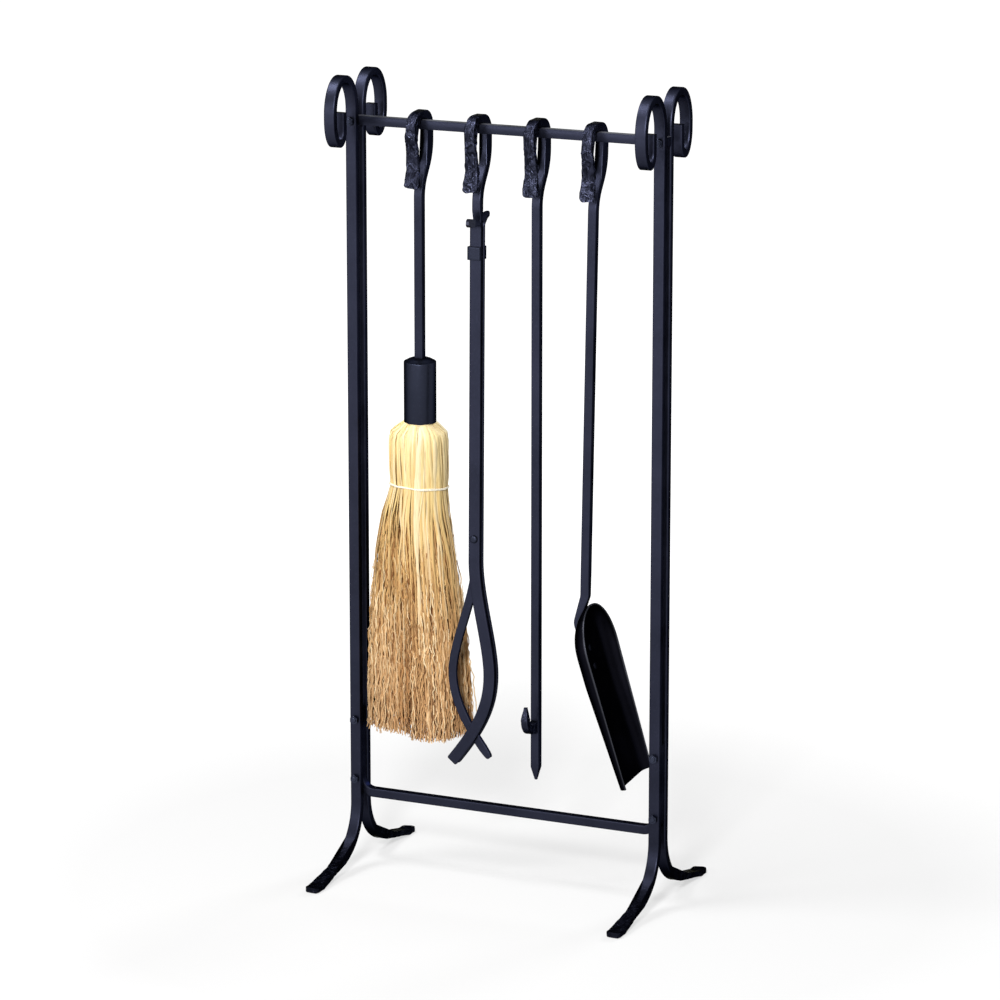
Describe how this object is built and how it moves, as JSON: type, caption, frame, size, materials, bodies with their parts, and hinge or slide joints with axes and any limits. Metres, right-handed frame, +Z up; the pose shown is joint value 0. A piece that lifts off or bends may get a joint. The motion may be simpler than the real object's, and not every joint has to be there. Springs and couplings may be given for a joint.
{
  "type": "fireplace tool set",
  "caption": "Forged iron fireplace tool set: a scroll-topped stand with a top rail from which a broom, tongs, a poker and a shovel hang by hooks, and splayed feet.",
  "frame": {"origin": "on the floor, midway between the posts and midway between the front and rear feet", "axes": "+X along the rails towards the shovel, -Y to the front, +Z up"},
  "size_m": [0.359, 0.238, 0.85],
  "materials": {
    "iron": "satin black paint over hammered bar",
    "hardware": "black bolts, nuts, clip and rivets",
    "sheet_steel": "black painted sheet",
    "straw": "natural broomcorn",
    "twine": "pale waxed twine"
  },
  "bodies": {
    "stand": {"left_front_upright": "iron", "left_rear_upright": "iron", "left_lower_bolt": "hardware", "left_lower_nut": "hardware", "left_upper_bolt": "hardware", "left_upper_nut": "hardware", "left_rail_bolt": "hardware", "left_rail_nut": "hardware", "right_front_upright": "iron", "right_rear_upright": "iron", "right_lower_bolt": "hardware", "right_lower_nut": "hardware", "right_upper_bolt": "hardware", "right_upper_nut": "hardware", "right_rail_bolt": "hardware", "right_rail_nut": "hardware", "top_rail": "iron", "bottom_rail": "iron"},
    "broom": {"broom_handle": "iron", "broom_ferrule": "sheet_steel", "broom_straw": "straw", "broom_twine": "twine"},
    "tongs": {"tongs_handle": "iron", "tongs_rivet": "hardware"},
    "tongs_fork": {"tongs_front_arm": "iron", "tongs_rear_arm": "iron", "tongs_clip": "hardware"},
    "poker": {"poker_shaft": "iron", "poker_barb": "iron"},
    "shovel": {"shovel_handle": "iron", "shovel_pan": "sheet_steel", "shovel_upper_rivet": "hardware", "shovel_lower_rivet": "hardware"}
  },
  "joints": [
    {"name": "broom_lift", "type": "slide", "parent": "stand", "child": "broom", "axis": [0, 0.0981, 0.9952], "range_m": [0, 0.085]},
    {"name": "tongs_lift", "type": "slide", "parent": "stand", "child": "tongs", "axis": [0, 0.1604, 0.987], "range_m": [0, 0.085]},
    {"name": "poker_lift", "type": "slide", "parent": "stand", "child": "poker", "axis": [0, 0.1328, 0.9911], "range_m": [0, 0.085]},
    {"name": "shovel_lift", "type": "slide", "parent": "stand", "child": "shovel", "axis": [0, 0.1328, 0.9911], "range_m": [0, 0.085]},
    {"name": "tongs_pivot", "type": "hinge", "parent": "tongs", "child": "tongs_fork", "pos_m": [-0.03017, -0.01191, 0.37348], "axis": [0, -0.9996, 0.0279], "range_deg": [0, 10]}
  ]
}
